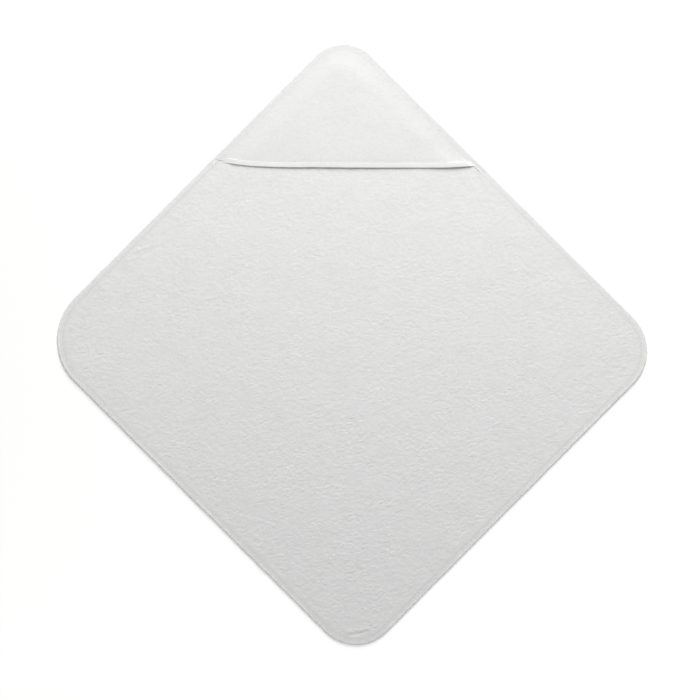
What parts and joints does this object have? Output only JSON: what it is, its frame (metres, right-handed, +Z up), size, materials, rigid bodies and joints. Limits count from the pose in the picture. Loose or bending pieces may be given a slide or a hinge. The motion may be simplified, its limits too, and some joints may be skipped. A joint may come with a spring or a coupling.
{
  "type": "hooded baby towel",
  "caption": "Square white terry baby towel with rounded corners, a triangular corner hood with an open free edge, and narrow self-colour tape round every edge.",
  "frame": {"origin": "on the resting face, under the middle of the towel's outline as it lies flat", "axes": "+Z up off the surface the towel lies on, +Y towards the hood corner, +X towards the towel's right corner seen from above"},
  "size_m": [0.9858, 1.0052, 0.0121],
  "materials": {
    "terry": "white cotton terry, looped pile",
    "tape": "white cotton tape, folded over the edge",
    "thread": "white polyester sewing thread"
  },
  "bodies": {
    "root": {"towel_centre": "terry", "edge_tape_centre": "tape", "needle_thread_centre": "thread", "bobbin_thread_centre": "thread", "hood_seam_margin": "terry"},
    "left_corner": {"towel_left_corner": "terry", "edge_tape_left_corner": "tape", "needle_thread_left_corner": "thread", "bobbin_thread_left_corner": "thread"},
    "right_corner": {"towel_right_corner": "terry", "edge_tape_right_corner": "tape", "needle_thread_right_corner": "thread", "bobbin_thread_right_corner": "thread"},
    "foot_corner": {"towel_foot_corner": "terry", "edge_tape_foot_corner": "tape", "needle_thread_foot_corner": "thread", "bobbin_thread_foot_corner": "thread"},
    "hood": {"hood_panel": "terry", "hood_tape": "tape", "hood_needle_thread": "thread", "hood_bobbin_thread": "thread"}
  },
  "joints": [
    {"name": "left_corner_fold", "type": "hinge", "parent": "root", "child": "left_corner", "pos_m": [-0.29096, 0, 0.0046], "axis": [0, 1, 0], "range_deg": [0, 175]},
    {"name": "right_corner_fold", "type": "hinge", "parent": "root", "child": "right_corner", "pos_m": [0.29096, 0, 0.0046], "axis": [0, -1, 0], "range_deg": [0, 175]},
    {"name": "foot_corner_fold", "type": "hinge", "parent": "root", "child": "foot_corner", "pos_m": [0, -0.29277, 0.0046], "axis": [-1, 0, 0], "range_deg": [0, 175]},
    {"name": "hood_lift", "type": "hinge", "parent": "root", "child": "hood", "pos_m": [0, 0.49419, 0.0035], "axis": [-1, 0, 0], "range_deg": [0, 20]}
  ]
}
